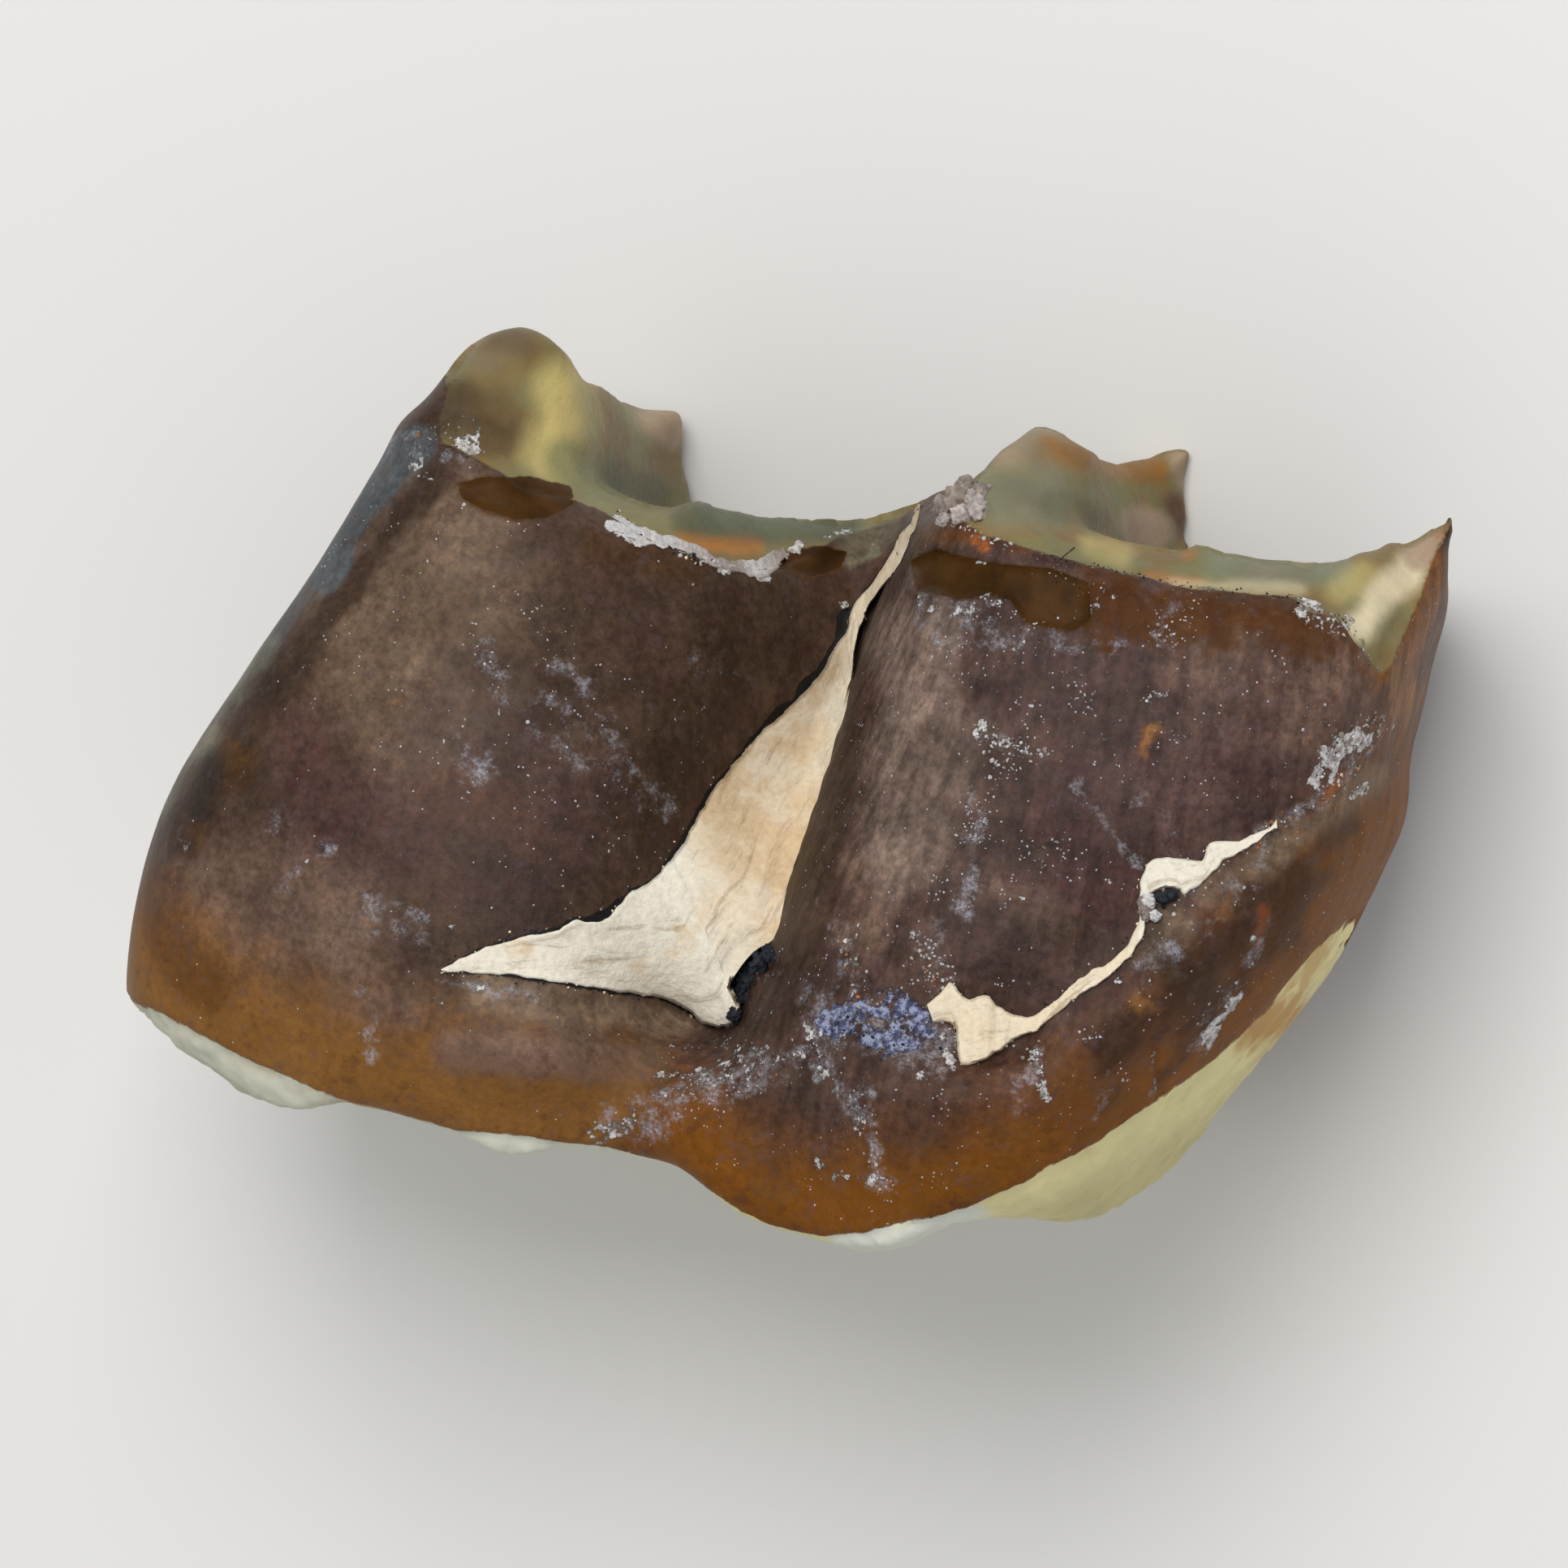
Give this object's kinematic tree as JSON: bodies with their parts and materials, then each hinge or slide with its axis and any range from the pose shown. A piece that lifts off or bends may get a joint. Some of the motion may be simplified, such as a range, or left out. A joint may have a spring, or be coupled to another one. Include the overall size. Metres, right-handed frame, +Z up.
{
  "type": "fossil rhino tooth",
  "caption": "Fossil lower cheek tooth of a running rhino: crescent lobes with a sediment-filled groove between them and roots broken away, lying on its tongue side.",
  "frame": {"origin": "on the resting plane, under the middle of the bounding box", "axes": "+X along the jaw towards the front of the mouth, +Y up the crown to the chewing surface, +Z up, from the tongue side to the cheek side"},
  "size_m": [0.0198, 0.0129, 0.0127],
  "materials": {
    "enamel": "satin",
    "groove_rock": "matte",
    "cingulum_rock": "matte"
  },
  "bodies": {
    "root": {"tooth_crown": "enamel", "groove_sediment": "groove_rock", "cingulum_sediment": "cingulum_rock"}
  },
  "joints": []
}
